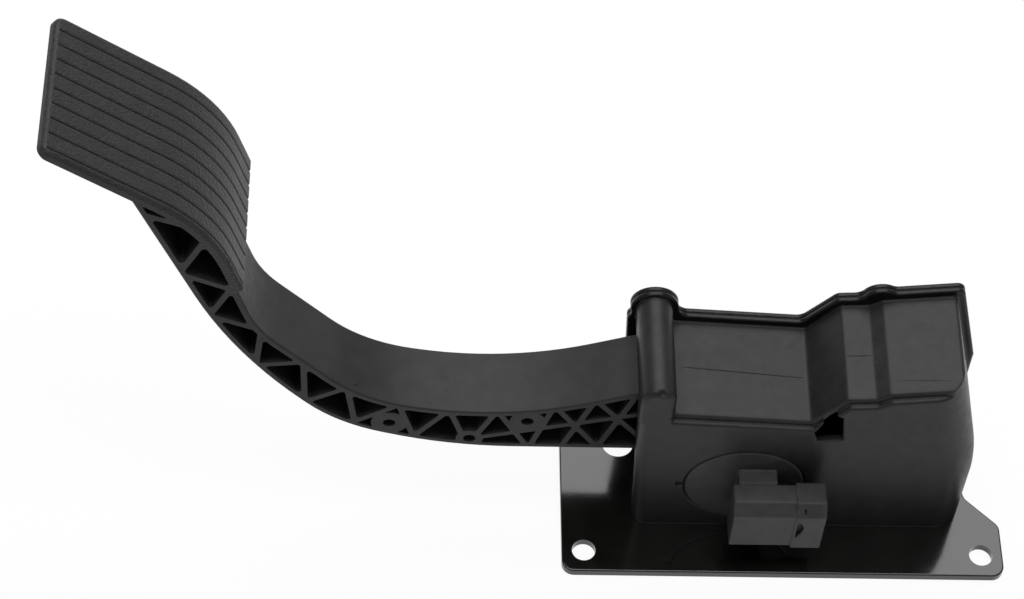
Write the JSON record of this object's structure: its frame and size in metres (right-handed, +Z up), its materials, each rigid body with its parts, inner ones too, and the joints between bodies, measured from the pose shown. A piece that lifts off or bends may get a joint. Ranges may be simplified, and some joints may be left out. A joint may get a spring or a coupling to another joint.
{
  "type": "accelerator pedal",
  "caption": "Electronic accelerator pedal: a ribbed tread on a curved lattice arm that pivots in a moulded sensor housing with a side connector, fixed to a flat bolt-on plate.",
  "frame": {"origin": "on the underside of the mounting plate, midway between the two front bolt holes", "axes": "+X along the plate away from the tread, +Y from the connector side to the rear cover, +Z up out of the plate"},
  "size_m": [0.3308, 0.0844, 0.2038],
  "materials": {
    "plate_paint": "gloss black paint",
    "housing_moulding": "fine satin moulding",
    "arm_moulding": "satin moulding with a grained tread",
    "cover_moulding": "smooth moulding",
    "sensor_moulding": "fine satin moulding",
    "seat_moulding": "natural slippery moulding",
    "rotor_moulding": "fine satin moulding",
    "rubber": "matte",
    "screw_steel": "zinc plated",
    "shaft_steel": "ground",
    "spring_steel": "drawn wire",
    "bearing_bronze": "sintered",
    "contact_metal": "tin plated",
    "board": "lacquered",
    "magnet": "sintered"
  },
  "bodies": {
    "base": {"mounting_plate": "plate_paint", "foot_screws": "screw_steel", "housing": "housing_moulding", "rear_cover": "cover_moulding", "cover_gasket": "rubber", "cover_screws": "screw_steel", "front_bushing": "bearing_bronze", "rear_bushing": "bearing_bronze", "sensor_body": "sensor_moulding", "sensor_seal": "rubber", "circuit_board": "board", "connector_pins": "contact_metal", "idle_stop_pad": "rubber", "full_stop_pad": "rubber", "outer_return_spring": "spring_steel", "inner_return_spring": "spring_steel"},
    "pedal": {"pedal_arm": "arm_moulding", "pivot_shaft": "shaft_steel", "sensor_rotor": "rotor_moulding", "rotor_magnet": "magnet"},
    "spring_rocker": {"spring_seat": "seat_moulding"}
  },
  "joints": [
    {"name": "pedal_pivot", "type": "hinge", "parent": "base", "child": "pedal", "pos_m": [-0.0165, 0.03335, 0.0312], "axis": [0, -1, 0], "range_deg": [0, 16], "stiffness_Nm_per_rad": 8, "springref_deg": -34.38, "deforming": ["outer_return_spring", "inner_return_spring"]},
    {"name": "seat_rock", "type": "hinge", "parent": "pedal", "child": "spring_rocker", "pos_m": [0.0335, 0.03335, 0.0242], "axis": [0, -1, 0], "range_deg": [-16, 0]}
  ],
  "couplings": [
    {"joint": "seat_rock", "follows": "pedal_pivot", "ratio": -1}
  ]
}
